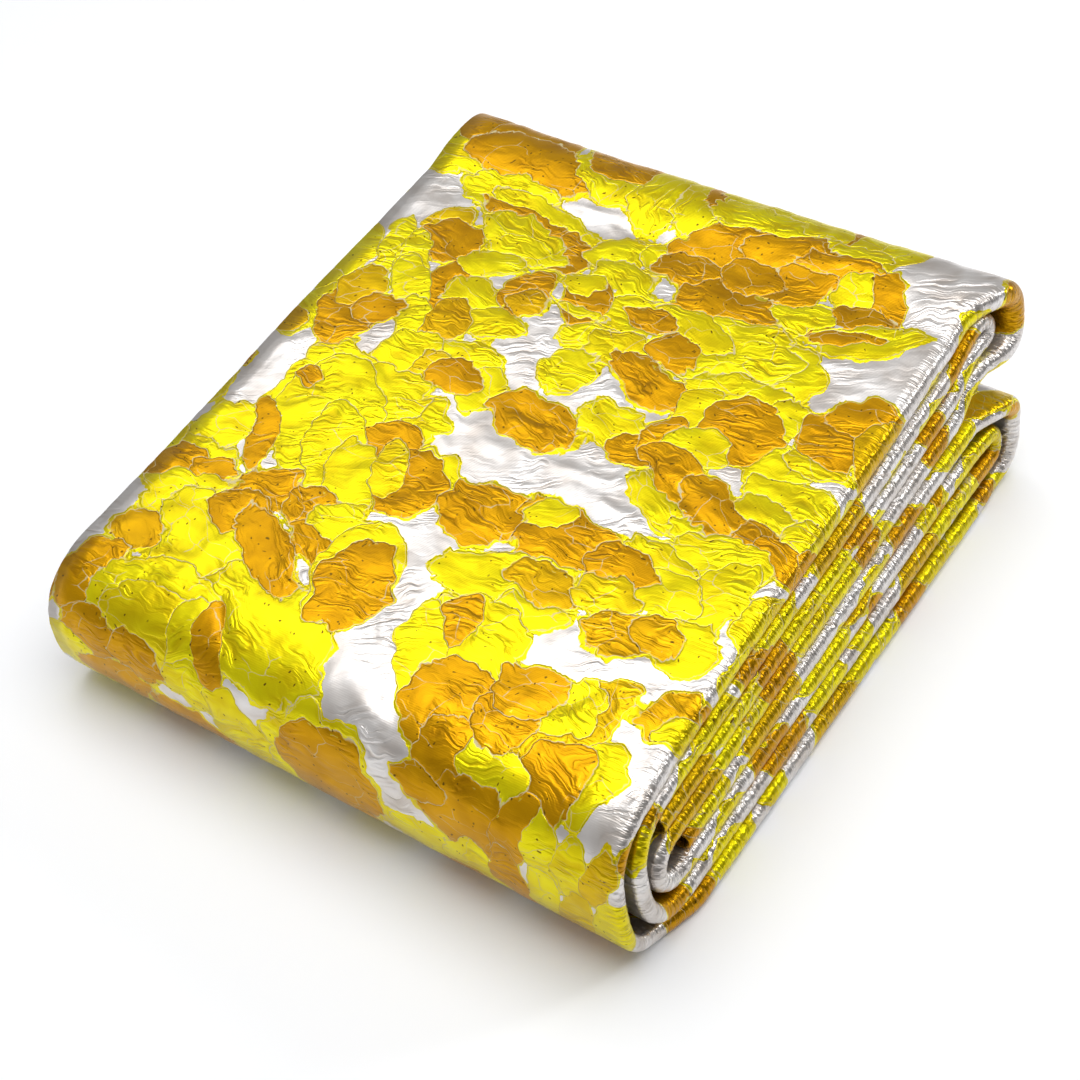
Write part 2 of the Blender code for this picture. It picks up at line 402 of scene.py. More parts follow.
# The scale of each pattern, and what it comes to on the cloth
RAGGED_SCALE = 190.0  # frays about 5 mm long
VEIN_SCALE = (48.0, 95.0, 1.0)  # veins about 21 mm long and 10 mm apart
PETAL_GATHERS = (44.0, 165.0, 1.0)  # gathers about 23 mm long and 6 mm apart
GROUND_GATHERS = (32.0, 165.0, 1.0)  # about 31 mm long and 6 mm apart
GROUND_TURN = -0.5  # of the ground's gathers, in radians
LOOSE_SCALE = 28.0  # stretches of about 36 mm, gathered more or less
CRUMPLE_SCALE = 42.0  # crumples about 24 mm across
PUCKER_SCALE = (75.0, 420.0, 1.0)  # puckers about 13 mm long and 2.4 mm apart
RIB_SCALE = 330.0  # ribs about 1 mm apart, coarser than the real threads, which are too fine to show
TINT_SCALE = 55.0  # clouds of about 18 mm
VEINED_SCALE = 28.0  # veins show in stretches of about 36 mm
PIN_SCALE = 130.0  # binding pins about 8 mm apart
PINNED_SCALE = 60.0  # and only in patches of about 17 mm

# The relief that is bump, from the lowest to the highest of each pattern
BLISTER_BUMP = 0.22 * MM
GATHER_BUMP = 1.0 * MM
CRUMPLE_BUMP = 0.42 * MM
PUCKER_BUMP = 1.1 * MM
RIB_BUMP = 0.015 * MM

MATH, VECTOR, RANGE, MIX = "ShaderNodeMath", "ShaderNodeVectorMath", "ShaderNodeMapRange", "ShaderNodeMix"
NOISE, VORONOI = "ShaderNodeTexNoise", "ShaderNodeTexVoronoi"
SEPARATE, ATTRIBUTE = "ShaderNodeSeparateXYZ", "ShaderNodeAttribute"


def band(number, column):
    return BANDS[number][BAND_COLUMNS.index(column)]


def turn(row, column):
    return row[TURN_COLUMNS.index(column)]


def smooth(t):
    t = np.clip(t, 0.0, 1.0)
    return t * t * (3.0 - 2.0 * t)


def band_height(number, y):
    run = np.clip((y - FRONT_LINE) / (REAR_LINE - FRONT_LINE), 0.0, 1.0)
    rise = (band(number, "rear_z") - band(number, "front_z")) * run
    climb = smooth((y - REAR_LINE) / (BACK_LINE - REAR_LINE))
    return band(number, "front_z") + rise + (band(number, "back_z") - band(number, "rear_z")) * climb


def band_flare(number, y):
    front = band(number, "front_flare") * smooth((FLARE_FRONT - y) / FLARE_RUN)
    return front + band(number, "back_flare") * smooth((y - FLARE_BACK) / FLARE_RUN)


def band_roll(number, y):
    return band(number, "roll") * np.interp(y, SWELL_PLACES, SWELL_SHARES)


def band_run(number, start_y, end_y):
    y = np.linspace(start_y, end_y, BAND_STEPS)
    return np.stack([y, band_height(number, y), band_roll(number, y), band_flare(number, y)], axis=1)


def turn_run(row):
    leaves, enters = turn(row, "leaves"), turn(row, "enters")
    reach = turn(row, "reach_y")
    line = FRONT_LINE if reach < FRONT_LINE else BACK_LINE
    start_z, end_z = band_height(leaves, line), band_height(enters, line)
    share = np.arange(1, TURN_STEPS) / TURN_STEPS
    angle = math.pi * (0.5 - share)
    power = 2.0 / turn(row, "square")
    out = np.cos(angle) ** power
    up = np.sign(np.sin(angle)) * np.abs(np.sin(angle)) ** power
    y = line + (reach - line) * out
    z = (start_z + end_z) / 2.0 + (start_z - end_z) / 2.0 * up
    roll = band_roll(leaves, line) * (1.0 - share) + band_roll(enters, line) * share
    roll += (turn(row, "roll") - roll) * out
    flare = band_flare(leaves, y) * (1.0 - share) + band_flare(enters, y) * share
    return np.stack([y, z, roll, flare], axis=1)


def chain():
    """The cloth's whole path as close stations, its length so far at each, and where each band starts."""
    runs, starts, count, at = [], {}, 0, OPEN_START_Y
    for row in TURNS:
        to = FRONT_LINE if turn(row, "reach_y") < FRONT_LINE else BACK_LINE
        starts[turn(row, "leaves")] = count
        runs += [band_run(turn(row, "leaves"), at, to), turn_run(row)]
        count += len(runs[-1]) + len(runs[-2])
        at = to
    starts[turn(TURNS[-1], "enters")] = count
    runs.append(band_run(turn(TURNS[-1], "enters"), at, OPEN_END_Y))
    stations = np.concatenate(runs)
    steps = np.linalg.norm(np.diff(stations[:, :2], axis=0), axis=1)
    length = np.concatenate([[0.0], np.cumsum(steps)])
    keep = np.concatenate([[True], steps > 1e-7])
    return stations[keep], length[keep], {number: length[i] for number, i in starts.items()}


def along_normals(stations):
    ahead = np.gradient(stations[:, :2], axis=0)
    ahead /= np.linalg.norm(ahead, axis=1)[:, None]
    return np.stack([-ahead[:, 1], ahead[:, 0]], axis=1)


def plies(outer_steps, inner_steps):
    """Places across the cloth: side of the fold, share of the ply from the roll, angle on the roll."""
    flat = math.pi / 2.0
    roll_angles = np.linspace(flat, -flat, ROLL_STEPS + 1)
    outer = np.array([(-1.0, share, flat) for share in outer_steps[:0:-1]])
    rolls = np.array([(-1.0 if angle >= 0.0 else 1.0, 0.0, abs(angle)) for angle in roll_angles])
    inner = np.array([(1.0, share, flat) for share in inner_steps[1:]])
    return np.concatenate([outer, rolls, inner])


def crowded(near, step_growth):
    """Shares of a ply from 0 at the roll to 1 at the selvedge, each step longer than the last."""
    steps = [0.0]
    size = near
    while steps[-1] + size < 0.97:
        steps.append(steps[-1] + size)
        size *= step_growth
    return np.array(steps + [1.0])


def lift(x, y):
    """How much of its height the stack has kept, as it sags towards the selvedges."""
    left = LIFT_FRONT_LEFT + (LIFT_BACK_LEFT - LIFT_FRONT_LEFT) * np.clip(y / FOOTPRINT_Y, 0.0, 1.0)
    return left + (1.0 - left) * np.clip(x / FOOTPRINT_X, 0.0, 1.0)


def uneven(x, y, z):
    """The solid's own slow waves, which grow with the height."""
    wave = np.sin(17.0 * x + 9.0 * y) + 0.6 * np.sin(31.0 * y - 12.0 * x + 1.0)
    return UNEVEN_SHARE * wave * z


def cloth_points(stations, normals, places):
    """Where every place at every station lies, and how far it is from the fold, measured on the cloth."""
    y, z, roll, flare = (column[:, None] for column in stations.T)
    side, share, angle = (column[None, :] for column in places.T)
    roll_x = FOOTPRINT_X - LEAN * z + flare - roll
    selvedge_x = LEFT_MARGIN - LEFT_LEAN * z
    on_ply = share > 0.0
    x = np.where(on_ply, roll_x + (selvedge_x - roll_x) * share, roll_x + roll * np.cos(angle))
    ply_offset = PLY_PITCH + (roll - PLY_PITCH) * np.exp(np.minimum(x - roll_x, 0.0) / FOLD_FADE)
    offset = np.where(on_ply, ply_offset, roll * np.sin(angle))
    py = y + side * offset * normals[:, :1]
    pz = z + side * offset * normals[:, 1:]
    pz = pz * lift(x, py) + uneven(x, py, pz)
    from_fold = side * (roll * angle + np.where(on_ply, roll_x - x, 0.0))
    return np.stack([x, py, np.maximum(pz, SHEET_THICK / 2.0)], axis=2), from_fold


def outward(points):
    """Unit normals of a grid of points, on the side that faces out at the top."""
    along = np.gradient(points, axis=0)
    across = np.gradient(points, axis=1)
    normal = np.cross(along, across)
    return normal / np.maximum(np.linalg.norm(normal, axis=2), 1e-12)[:, :, None]


def lattice_noise(x, y, seed):
    """Smooth noise from about -1 to 1, with one swell to a unit of x and y."""
    draw = np.random.default_rng(seed)
    order = draw.permutation(1024)
    angles = draw.uniform(0.0, 2.0 * math.pi, 1024)
    cell_x, cell_y = np.floor(x).astype(int), np.floor(y).astype(int)
    in_x, in_y = x - cell_x, y - cell_y

    def corner(step_x, step_y):
        angle = angles[(order[(cell_x + step_x) % 1024] + cell_y + step_y) % 1024]
        return np.cos(angle) * (in_x - step_x) + np.sin(angle) * (in_y - step_y)

    blend_x, blend_y = smooth(in_x), smooth(in_y)
    low = corner(0, 0) * (1.0 - blend_x) + corner(1, 0) * blend_x
    high = corner(0, 1) * (1.0 - blend_x) + corner(1, 1) * blend_x
    return 1.5 * (low * (1.0 - blend_y) + high * blend_y)


def loom_points(chart):
    """Points on the cloth, shifted a little so that no woven outline is quite true."""
    x, y = chart[..., 0], chart[..., 1]
    shift_x, shift_y = np.zeros_like(x), np.zeros_like(y)
    for size, amount, seed in LOOM_SHIFTS:
        shift_x += amount * lattice_noise(x / size, y / size, seed)
        shift_y += amount * lattice_noise(x / size, y / size, seed + 1)
    return np.stack([x + shift_x, y + shift_y], axis=-1)


def repeated_petals(low, high):
    """The charted petals as an array in metres, repeated over a stretch of the cloth."""
    rows = []
    size = MM * PETAL_SPREAD
    x_shifts = range(math.floor(low[0] / REPEAT_X / MM) - 1, math.ceil(high[0] / REPEAT_X / MM) + 2)
    y_shifts = range(math.floor(low[1] / REPEAT_Y / MM) - 1, math.ceil(high[1] / REPEAT_Y / MM) + 2)
    for petal in PETALS:
        x, y, half_length, half_width, degrees, gold, scallops = petal
        for i in x_shifts:
            for j in y_shifts:
                at = ((x + i * REPEAT_X) * MM, (y + j * REPEAT_Y) * MM)
                reach = max(half_length, half_width) * MM * CHART_MARGIN
                if low[0] - reach < at[0] < high[0] + reach and low[1] - reach < at[1] < high[1] + reach:
                    form = (half_length * size, half_width * size)
                    rows.append((*at, math.radians(degrees), *form, gold, scallops))
    return np.array(rows)


def petal_depth(petal, points):
    """How deep points lie inside a petal's outline, in metres, and less than 0 outside it."""
    x, y, angle, half_length, half_width, _, scallops = petal
    dx, dy = points[:, 0] - x, points[:, 1] - y
    a = (math.cos(angle) * dx + math.sin(angle) * dy) / half_length
    b = (math.cos(angle) * dy - math.sin(angle) * dx) / half_width
    wave = np.abs(np.cos(np.arctan2(b, a) * scallops / 2.0))
    rim = 1.0 - SCALLOP_DEPTH * (0.6 - wave) + EGG * a
    return (rim - np.hypot(a, b)) * half_width


def near(petal, points, reach):
    """Which points lie in the square round a petal and its reach."""
    size = max(petal[3], petal[4]) * PETAL_REACH + reach
    beside_x = np.abs(points[:, 0] - petal[0]) < size
    beside_y = np.abs(points[:, 1] - petal[1]) < size
    return np.flatnonzero(beside_x & beside_y)


def pattern_lie(points, petals):
    """For each point of the cloth: its distance to the nearest outline, and where it lies in its petal.

    The lie is in metres along and across the petal that is on top there. On the ground it is the place
    itself.
    """
    distance = np.full(len(points), OUTLINE_REACH)
    lie = points.copy()
    for petal in petals:
        found = near(petal, points, OUTLINE_REACH)
        inside = petal_depth(petal, points[found])
        covered = inside > 0.0
        top = found[covered]
        distance[top] = inside[covered]
        dx, dy = points[top, 0] - petal[0], points[top, 1] - petal[1]
        lie[top, 0] = math.cos(petal[2]) * dx + math.sin(petal[2]) * dy
        lie[top, 1] = math.cos(petal[2]) * dy - math.sin(petal[2]) * dx + petal[0] * LIE_SHIFT
        beside = found[~covered]
        distance[beside] = np.minimum(distance[beside], -inside[~covered])
    return distance, lie


def top_petals(points, reaches, petals, layers=3):
    """For each face, the rows of the petals that lie on top there, the topmost first, or -1.

    Places that are left go to the petals that lie just beside the face, which close narrow gaps.
    """
    found_rows = np.full((len(points), layers), -1)
    count = np.zeros(len(points), int)
    for beside in (0.0, GAP_SHARE * GAP_FILL):
        for row in range(len(petals) - 1, -1, -1):
            open_points = near(petals[row], points, FACE_REACH)
            open_points = open_points[count[open_points] < layers]
            inside = petal_depth(petals[row], points[open_points])
            margin = reaches[open_points] + RAGGED_EDGE * RAGGED_SHARE
            touched = inside > -margin - beside
            if beside:
                touched &= inside <= -margin
            hit = open_points[touched]
            found_rows[hit, count[hit]] = row
            count[hit] += 1
            if not beside:
                count[open_points[inside > margin]] = layers
    return found_rows


def creases(chart):
    """Height of the hand-placed creases, in metres."""
    x, y = chart[:, 0] / MM, chart[:, 1] / MM
    height = np.zeros(len(chart))
    for at_x, at_y, half_length, half_width, degrees, rise in CREASES:
        angle = math.radians(degrees)
        along = (math.cos(angle) * (x - at_x) + math.sin(angle) * (y - at_y)) / half_length
        bend = 0.12 * half_length * along ** 2
        aside = (math.cos(angle) * (y - at_y) - math.sin(angle) * (x - at_x) - bend) / half_width
        height += rise * MM * np.exp(-aside ** 2) * smooth(1.0 - np.abs(along))
    return height


def relief(chart, loom, petals):
    """Height of the cloth above its fold's smooth surface, in metres."""
    x, y = chart[:, 0], chart[:, 1]
    distance, lie = pattern_lie(loom, petals)
    height = PUFF_HEIGHT * (1.0 - np.exp(-distance / PUFF_RUN))
    gathers = lattice_noise(lie[:, 0] / GATHER_LENGTH, lie[:, 1] / GATHER_WIDTH, 17)
    height += GATHER_HEIGHT * gathers * smooth(distance / GATHER_FADE)
    bent_x = x + BEND * lattice_noise(x / BEND_SIZE, y / BEND_SIZE, 11)
    bent_y = y + BEND * lattice_noise(x / BEND_SIZE, y / BEND_SIZE, 12)
    for size, amount, seed in CRUMPLES:
        swell = lattice_noise(bent_x / size, bent_y / size, seed)
        height += amount * ((1.0 - np.abs(swell)) ** 3 - 0.3)
    return height + creases(chart)


def puckers(chart, from_fold):
    """Short folds across the roll at the fold, where the cloth is bent twice."""
    strength = np.exp(-(np.abs(from_fold) / PUCKER_REACH) ** 2)
    height = np.zeros(len(chart))
    for spacing, length, share, seed in PUCKERS:
        height += share * lattice_noise(chart[:, 1] / spacing, from_fold / length, seed)
    return PUCKER_HEIGHT * strength * height


def linear(hex_colour):
    """An sRGB hex colour as linear red, green, blue and alpha."""
    parts = [int(hex_colour[i:i + 2], 16) / 255.0 for i in (1, 3, 5)]
    return [c / 12.92 if c <= 0.04045 else ((c + 0.055) / 1.055) ** 2.4 for c in parts] + [1.0]


def add(tree, kind, inputs=None, **settings):
    """Adds a node. Its settings come by name, and its inputs are values or other nodes' outputs."""
    node = tree.nodes.new(kind)
    for name, value in settings.items():
        setattr(node, name, value)
    for socket, value in (inputs or {}).items():
        if isinstance(value, bpy.types.NodeSocket):
            tree.links.new(value, node.inputs[socket])
        else:
            node.inputs[socket].default_value = value
    return node


def petal_group():
    """A node group that gives how deep a point of the cloth lies inside one petal, as petal_depth does.

    Along and Across turn the point into shares of the petal's half length and half width.
    """
    tree = bpy.data.node_groups.new("woven petal", "ShaderNodeTree")
    for name in ("Loom", "Along", "Across", "Size", "Lag"):
        tree.interface.new_socket(name, in_out="INPUT", socket_type="NodeSocketVector")
    for name in ("Half Scallops", "Half Width"):
        tree.interface.new_socket(name, in_out="INPUT", socket_type="NodeSocketFloat")
    tree.interface.new_socket("Depth", in_out="OUTPUT", socket_type="NodeSocketFloat")
    tree.interface.new_socket("Lie", in_out="OUTPUT", socket_type="NodeSocketVector")
    given = add(tree, "NodeGroupInput").outputs
    along, across = (
        add(tree, VECTOR, {0: given["Loom"], 1: given[name]}, operation="DOT_PRODUCT").outputs["Value"]
        for name in ("Along", "Across")
    )
    share = add(tree, "ShaderNodeCombineXYZ", {0: along, 1: across}).outputs[0]
    radius = add(tree, VECTOR, {0: share}, operation="LENGTH").outputs["Value"]
    angle = add(tree, MATH, {0: across, 1: along}, operation="ARCTAN2").outputs[0]
    turns = add(tree, MATH, {0: angle, 1: given["Half Scallops"]}, operation="MULTIPLY").outputs[0]
    wave = add(tree, MATH, {0: turns}, operation="COSINE").outputs[0]
    wave = add(tree, MATH, {0: wave}, operation="ABSOLUTE").outputs[0]
    level = 1.0 - 0.6 * SCALLOP_DEPTH
    rim = add(tree, MATH, {0: wave, 1: SCALLOP_DEPTH, 2: level}, operation="MULTIPLY_ADD").outputs[0]
    rim = add(tree, MATH, {0: along, 1: EGG, 2: rim}, operation="MULTIPLY_ADD").outputs[0]
    depth = add(tree, MATH, {0: rim, 1: radius}, operation="SUBTRACT").outputs[0]
    depth = add(tree, MATH, {0: depth, 1: given["Half Width"]}, operation="MULTIPLY").outputs[0]
    lie = {0: share, 1: given["Size"], 2: given["Lag"]}
    lie = add(tree, VECTOR, lie, operation="MULTIPLY_ADD").outputs[0]
    add(tree, "NodeGroupOutput", {"Depth": depth, "Lie": lie})
    return tree


def brocade_material():
    """Satin jacquard with a foil-wrapped weft, woven to blister between its outlines.

    The eye gets a metallic silver ground, lemon and gold petals with bright folds, and dull thread
    outlines.
    """
    material = bpy.data.materials.new("satin jacquard brocade")
    material.use_nodes = True
    tree = material.node_tree
    tree.nodes.clear()
    loom = add(tree, "ShaderNodeUVMap", uv_map="loom").outputs[0]
    chart = add(tree, "ShaderNodeUVMap", uv_map="chart").outputs[0]
    ragged = {"Vector": loom, "Scale": RAGGED_SCALE, "Detail": 2.0}
    ragged = add(tree, NOISE, ragged, noise_dimensions="2D").outputs[0]
    ragged = add(tree, MATH, {0: ragged, 1: -0.5}, operation="ADD").outputs[0]

    # Where each point lies in the three topmost petals
    group = petal_group()
    loom_point = add(tree, VECTOR, {0: loom, 1: (0.0, 0.0, 1.0)}, operation="ADD").outputs[0]
    lie, tone = loom, 0.0
    petals = distance = deepest = None
    for layer in (2, 1, 0):
        given = {"Loom": loom_point}
        for kind in ("Along", "Across", "Size", "Lag", "Look"):
            attribute = add(tree, ATTRIBUTE, attribute_name=f"{kind.lower()}_{layer}")
            given[kind] = attribute.outputs["Vector"]
        look = add(tree, SEPARATE, {0: given.pop("Look")}).outputs
        given["Half Scallops"], given["Half Width"] = look[1], look[2]
        petal = add(tree, "ShaderNodeGroup", node_tree=group)
        for name, value in given.items():
            tree.links.new(value, petal.inputs[name])
        depth = {0: ragged, 1: RAGGED_EDGE, 2: petal.outputs["Depth"]}
        depth = add(tree, MATH, depth, operation="MULTIPLY_ADD").outputs[0]
        inside = add(tree, RANGE, {0: depth, 1: -0.1 * MM, 2: 0.1 * MM}).outputs[0]
        tone = add(tree, MIX, {0: inside, 2: tone, 3: look[0]}).outputs[0]
        lie = add(tree, MIX, {0: inside, 4: lie, 5: petal.outputs["Lie"]}, data_type="VECTOR").outputs[1]
        away = add(tree, MATH, {0: depth}, operation="ABSOLUTE").outputs[0]
        if distance is None:
            distance, petals, deepest = away, inside, depth
            continue
        nearer = add(tree, MATH, {0: distance, 1: away}, operation="MINIMUM").outputs[0]
        distance = add(tree, MIX, {0: inside, 2: nearer, 3: away}).outputs[0]
        petals = add(tree, MATH, {0: petals, 1: inside}, operation="MAXIMUM").outputs[0]
        deepest = add(tree, MATH, {0: deepest, 1: depth, 2: GAP_FILL}, operation="SMOOTH_MAX").outputs[0]
    cover = add(tree, RANGE, {0: deepest, 1: -0.1 * MM, 2: 0.1 * MM}).outputs[0]

    # Veins run along each petal, and every petal on the ground has a yellow edge
    vein_run = add(tree, VECTOR, {0: lie, 1: VEIN_SCALE}, operation="MULTIPLY").outputs[0]
    vein = {"Vector": vein_run, "Scale": 1.0}
    vein = add(tree, VORONOI, vein, feature="DISTANCE_TO_EDGE", voronoi_dimensions="2D").outputs[0]
    rim = add(tree, RANGE, {0: deepest, 1: 1.2 * MM, 2: 1.9 * MM, 3: 0.15, 4: 1.0}).outputs[0]
    tone = add(tree, MATH, {0: tone, 1: rim}, operation="MULTIPLY").outputs[0]
    tone = add(tree, MATH, {0: tone, 1: petals}, operation="MULTIPLY").outputs[0]

    # Relief: blisters between the outlines, gathers along the petals, crumples, puckers and the weave
    blister, settled = (
        add(tree, RANGE, {0: distance, 1: 0.0, 2: run_up}, interpolation_type="SMOOTHSTEP").outputs[0]
        for run_up in (1.2 * MM, 3.5 * MM)
    )
    blister = add(tree, MATH, {0: blister, 1: cover}, operation="MULTIPLY").outputs[0]
    petal_run = add(tree, VECTOR, {0: lie, 1: PETAL_GATHERS}, operation="MULTIPLY").outputs[0]
    ground_run = {"Vector": loom, "Angle": GROUND_TURN}
    ground_run = add(tree, "ShaderNodeVectorRotate", ground_run, rotation_type="Z_AXIS").outputs[0]
    ground_run = add(tree, VECTOR, {0: ground_run, 1: GROUND_GATHERS}, operation="MULTIPLY").outputs[0]
    run = add(tree, MIX, {0: cover, 4: ground_run, 5: petal_run}, data_type="VECTOR").outputs[1]
    gather = {"Vector": run, "Scale": 1.0, "Detail": 1.8, "Distortion": 1.4}
    gather = add(tree, NOISE, gather, noise_dimensions="2D").outputs[0]
    loose = {"Vector": chart, "Scale": LOOSE_SCALE, "Detail": 0.0}
    loose = add(tree, NOISE, loose, noise_dimensions="2D").outputs[0]
    loose = add(tree, RANGE, {0: loose, 1: 0.42, 2: 0.60, 3: 0.15, 4: 1.0}).outputs[0]
    gather = add(tree, MATH, {0: gather, 1: -0.5}, operation="ADD").outputs[0]
    gather = add(tree, MATH, {0: gather, 1: loose}, operation="MULTIPLY").outputs[0]
    gather = add(tree, MATH, {0: gather, 1: settled}, operation="MULTIPLY").outputs[0]
    crumple = {"Vector": chart, "Scale": CRUMPLE_SCALE, "Detail": 1.5, "Roughness": 0.4, "Distortion": 0.9}
    crumple = add(tree, NOISE, crumple, noise_type="RIDGED_MULTIFRACTAL", noise_dimensions="2D").outputs[0]
    slack = add(tree, RANGE, {0: cover, 1: 0.0, 2: 1.0, 3: 1.0, 4: 0.45}).outputs[0]
    crumple = add(tree, MATH, {0: crumple, 1: slack}, operation="MULTIPLY").outputs[0]
    fold_x = add(tree, SEPARATE, {0: chart}).outputs[0]
    fold_x = add(tree, MATH, {0: fold_x}, operation="ABSOLUTE").outputs[0]
    at_fold = add(tree, RANGE, {0: fold_x, 1: 6.0 * MM, 2: 13.0 * MM, 3: 1.0, 4: 0.0}).outputs[0]
    pucker_run = add(tree, VECTOR, {0: chart, 1: PUCKER_SCALE}, operation="MULTIPLY").outputs[0]
    pucker = {"Vector": pucker_run, "Scale": 1.0, "Detail": 2.0, "Distortion": 0.6}
    pucker = add(tree, NOISE, pucker, noise_dimensions="2D").outputs[0]
    pucker = add(tree, MATH, {0: pucker, 1: at_fold}, operation="MULTIPLY").outputs[0]
    rib = {"Vector": chart, "Scale": RIB_SCALE}
    rib = add(tree, "ShaderNodeTexWave", rib, bands_direction="Y").outputs[1]
    height = None
    for relief_part, amount in (
        (blister, BLISTER_BUMP),
        (gather, GATHER_BUMP),
        (crumple, CRUMPLE_BUMP),
        (pucker, PUCKER_BUMP),
        (rib, RIB_BUMP),
    ):
        inputs = {0: relief_part, 1: amount, 2: 0.0 if height is None else height}
        height = add(tree, MATH, inputs, operation="MULTIPLY_ADD").outputs[0]
    bump = add(tree, "ShaderNodeBump", {"Strength": 1.0, "Distance": 1.0, "Height": height}).outputs[0]

    # Colour: each yarn is deeper in clouds of its own tone, and darker in the troughs of the gathers, which
    # is painted shade where the creases fall in shade
    tone_and_gather_shade = add(tree, NOISE, {"Vector": loom, "Scale": TINT_SCALE, "Detail": 2.0}).outputs[0]
    # Adding the gathers paints shade into their troughs: the lower the gather, the deeper the colour
    tone_and_gather_shade = add(tree, MATH, {0: tone_and_gather_shade, 1: gather}, operation="ADD").outputs[0]
    tone_and_gather_shade = add(tree, RANGE, {0: tone_and_gather_shade, 1: 0.25, 2: 0.65}).outputs[0]
    lemon, gold, silver = (
        add(tree, MIX, {0: tone_and_gather_shade, 6: linear(deep), 7: linear(bright)}, data_type="RGBA").outputs[2]
        for deep, bright in ((LEMON_DEEP_AND_SHADE, LEMON), (GOLD_DEEP_AND_SHADE, GOLD), (SILVER_DEEP_AND_SHADE, SILVER))
    )
    face = add(tree, MIX, {0: tone, 6: lemon, 7: gold}, data_type="RGBA").outputs[2]
    colour = add(tree, MIX, {0: cover, 6: silver, 7: face}, data_type="RGBA").outputs[2]

    # Outlines run between petals, and a little inside the edge where petals meet the ground
    line = add(tree, RANGE, {0: distance, 1: 0.12 * MM, 2: 0.30 * MM, 3: 1.0, 4: 0.0}).outputs[0]
    edge = add(tree, RANGE, {0: deepest, 1: 0.7 * MM, 2: 1.4 * MM}).outputs[0]
    line = add(tree, MATH, {0: line, 1: edge}, operation="MULTIPLY").outputs[0]
    contour = add(tree, MATH, {0: deepest, 1: -1.6 * MM}, operation="ADD").outputs[0]
    contour = add(tree, MATH, {0: contour}, operation="ABSOLUTE").outputs[0]
    contour = add(tree, RANGE, {0: contour, 1: 0.08 * MM, 2: 0.26 * MM, 3: 0.8, 4: 0.0}).outputs[0]
    line = add(tree, MATH, {0: line, 1: contour}, operation="MAXIMUM").outputs[0]
    vein = add(tree, RANGE, {0: vein, 1: 0.006, 2: 0.016, 3: 0.8, 4: 0.0}).outputs[0]
    veined = add(tree, NOISE, {"Vector": loom, "Scale": VEINED_SCALE, "Detail": 0.0}).outputs[0]
    veined = add(tree, RANGE, {0: veined, 1: 0.48, 2: 0.53}).outputs[0]
    vein = add(tree, MATH, {0: vein, 1: veined}, operation="MULTIPLY").outputs[0]
    vein = add(tree, MATH, {0: vein, 1: petals}, operation="MULTIPLY").outputs[0]
    line = add(tree, MATH, {0: line, 1: vein}, operation="MAXIMUM").outputs[0]
    floats = add(tree, RANGE, {0: ragged, 1: -0.12, 2: 0.0, 3: 0.3, 4: 1.0}).outputs[0]
    line = add(tree, MATH, {0: line, 1: floats}, operation="MULTIPLY").outputs[0]
    line = add(tree, MATH, {0: line, 1: cover}, operation="MULTIPLY").outputs[0]
    colour = add(tree, MIX, {0: line, 6: colour, 7: linear(THREAD)}, data_type="RGBA").outputs[2]

    # Dark binding pins, where the outline thread comes up through a petal
    pins = {"Vector": loom, "Scale": PIN_SCALE}
    pins = add(tree, VORONOI, pins, voronoi_dimensions="2D").outputs["Distance"]
    pins = add(tree, RANGE, {0: pins, 1: 0.045, 2: 0.085, 3: 1.0, 4: 0.0}).outputs[0]
    pinned = add(tree, NOISE, {"Vector": loom, "Scale": PINNED_SCALE, "Detail": 0.0}).outputs[0]
    pinned = add(tree, MATH, {0: tone, 1: 0.1, 2: pinned}, operation="MULTIPLY_ADD").outputs[0]
    pinned = add(tree, RANGE, {0: pinned, 1: 0.50, 2: 0.57}).outputs[0]
    pins = add(tree, MATH, {0: pins, 1: pinned}, operation="MULTIPLY").outputs[0]
    pins = add(tree, MATH, {0: pins, 1: petals}, operation="MULTIPLY").outputs[0]
    colour = add(tree, MIX, {0: pins, 6: colour, 7: linear(PIN_THREAD)}, data_type="RGBA").outputs[2]

    rough = {0: line, 1: 0.0, 2: 1.0, 3: SATIN_ROUGHNESS, 4: THREAD_ROUGHNESS}
    rough = add(tree, RANGE, rough).outputs[0]
    foil = add(tree, RANGE, {0: line, 1: 0.0, 2: 1.0, 3: SATIN_METAL, 4: THREAD_METAL}).outputs[0]
    shader = add(tree, "ShaderNodeBsdfPrincipled", {
        "Base Color": colour, "Metallic": foil, "Roughness": rough, "Normal": bump,
        "Specular IOR Level": SATIN_SPECULAR,
    })
    add(tree, "ShaderNodeOutputMaterial", {0: shader.outputs[0]})
    return material


